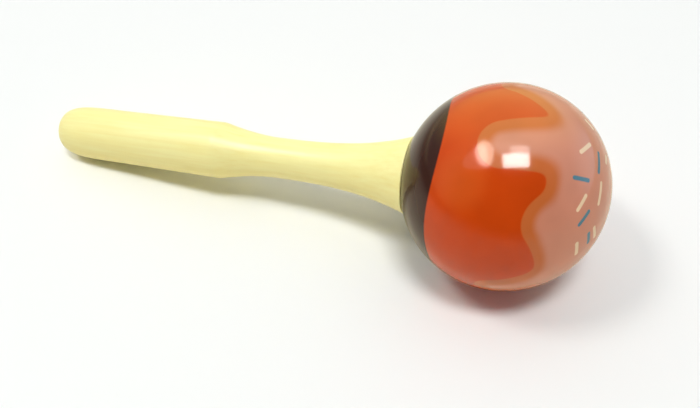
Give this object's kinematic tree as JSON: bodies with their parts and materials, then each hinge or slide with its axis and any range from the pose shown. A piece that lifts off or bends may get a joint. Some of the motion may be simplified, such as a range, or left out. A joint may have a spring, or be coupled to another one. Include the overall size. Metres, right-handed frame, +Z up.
{
  "type": "wooden rattle",
  "caption": "Hand rattle of turned, lacquered wood: a hollow ball glued up from two shells on a waisted round handle, with loose beads inside that sound when it is shaken.",
  "frame": {"origin": "on the surface the rattle lies on, under the middle of its bounding box", "axes": "+Z up; +X from the handle's end to the ball; the ball and the handle's round end both touch z = 0, so the handle's axis slopes 8.5 degrees down from the ball"},
  "size_m": [0.188, 0.0618, 0.0619],
  "materials": {
    "yellow_lacquer": "pale yellow lacquer, satin gloss",
    "orange_lacquer": "orange lacquer with a brown zone at the handle, clear gloss coat",
    "pink_lacquer": "orange lacquer under a printed pink cap, clear gloss coat",
    "bead_wood": "bare tumbled wood"
  },
  "bodies": {
    "rattle": {"handle": "yellow_lacquer", "head_base_shell": "orange_lacquer", "head_cap_shell": "pink_lacquer"},
    "bead_01": {"rattle_bead_01": "bead_wood"},
    "bead_02": {"rattle_bead_02": "bead_wood"},
    "bead_03": {"rattle_bead_03": "bead_wood"},
    "bead_04": {"rattle_bead_04": "bead_wood"},
    "bead_05": {"rattle_bead_05": "bead_wood"},
    "bead_06": {"rattle_bead_06": "bead_wood"},
    "bead_07": {"rattle_bead_07": "bead_wood"},
    "bead_08": {"rattle_bead_08": "bead_wood"},
    "bead_09": {"rattle_bead_09": "bead_wood"},
    "bead_10": {"rattle_bead_10": "bead_wood"},
    "bead_11": {"rattle_bead_11": "bead_wood"},
    "bead_12": {"rattle_bead_12": "bead_wood"},
    "bead_13": {"rattle_bead_13": "bead_wood"},
    "bead_14": {"rattle_bead_14": "bead_wood"},
    "bead_15": {"rattle_bead_15": "bead_wood"},
    "bead_16": {"rattle_bead_16": "bead_wood"},
    "bead_17": {"rattle_bead_17": "bead_wood"},
    "bead_18": {"rattle_bead_18": "bead_wood"},
    "bead_19": {"rattle_bead_19": "bead_wood"}
  },
  "joints": [
    {"name": "bead_01_shake", "type": "slide", "parent": "rattle", "child": "bead_01", "axis": [0, 0, 1], "range_m": [0, 0.042]},
    {"name": "bead_02_shake", "type": "slide", "parent": "rattle", "child": "bead_02", "axis": [0, 0, 1], "range_m": [0, 0.0433]},
    {"name": "bead_03_shake", "type": "slide", "parent": "rattle", "child": "bead_03", "axis": [0, 0, 1], "range_m": [0, 0.042]},
    {"name": "bead_04_shake", "type": "slide", "parent": "rattle", "child": "bead_04", "axis": [0, 0, 1], "range_m": [0, 0.0433]},
    {"name": "bead_05_shake", "type": "slide", "parent": "rattle", "child": "bead_05", "axis": [0, 0, 1], "range_m": [0, 0.0458]},
    {"name": "bead_06_shake", "type": "slide", "parent": "rattle", "child": "bead_06", "axis": [0, 0, 1], "range_m": [0, 0.0458]},
    {"name": "bead_07_shake", "type": "slide", "parent": "rattle", "child": "bead_07", "axis": [0, 0, 1], "range_m": [0, 0.0433]},
    {"name": "bead_08_shake", "type": "slide", "parent": "rattle", "child": "bead_08", "axis": [0, 0, 1], "range_m": [0, 0.042]},
    {"name": "bead_09_shake", "type": "slide", "parent": "rattle", "child": "bead_09", "axis": [0, 0, 1], "range_m": [0, 0.0458]},
    {"name": "bead_10_shake", "type": "slide", "parent": "rattle", "child": "bead_10", "axis": [0, 0, 1], "range_m": [0, 0.047]},
    {"name": "bead_11_shake", "type": "slide", "parent": "rattle", "child": "bead_11", "axis": [0, 0, 1], "range_m": [0, 0.0458]},
    {"name": "bead_12_shake", "type": "slide", "parent": "rattle", "child": "bead_12", "axis": [0, 0, 1], "range_m": [0, 0.042]},
    {"name": "bead_13_shake", "type": "slide", "parent": "rattle", "child": "bead_13", "axis": [0, 0, 1], "range_m": [0, 0.0433]},
    {"name": "bead_14_shake", "type": "slide", "parent": "rattle", "child": "bead_14", "axis": [0, 0, 1], "range_m": [0, 0.0458]},
    {"name": "bead_15_shake", "type": "slide", "parent": "rattle", "child": "bead_15", "axis": [0, 0, 1], "range_m": [0, 0.0458]},
    {"name": "bead_16_shake", "type": "slide", "parent": "rattle", "child": "bead_16", "axis": [0, 0, 1], "range_m": [0, 0.0433]},
    {"name": "bead_17_shake", "type": "slide", "parent": "rattle", "child": "bead_17", "axis": [0, 0, 1], "range_m": [0, 0.042]},
    {"name": "bead_18_shake", "type": "slide", "parent": "rattle", "child": "bead_18", "axis": [0, 0, 1], "range_m": [0, 0.0433]},
    {"name": "bead_19_shake", "type": "slide", "parent": "rattle", "child": "bead_19", "axis": [0, 0, 1], "range_m": [0, 0.042]}
  ]
}
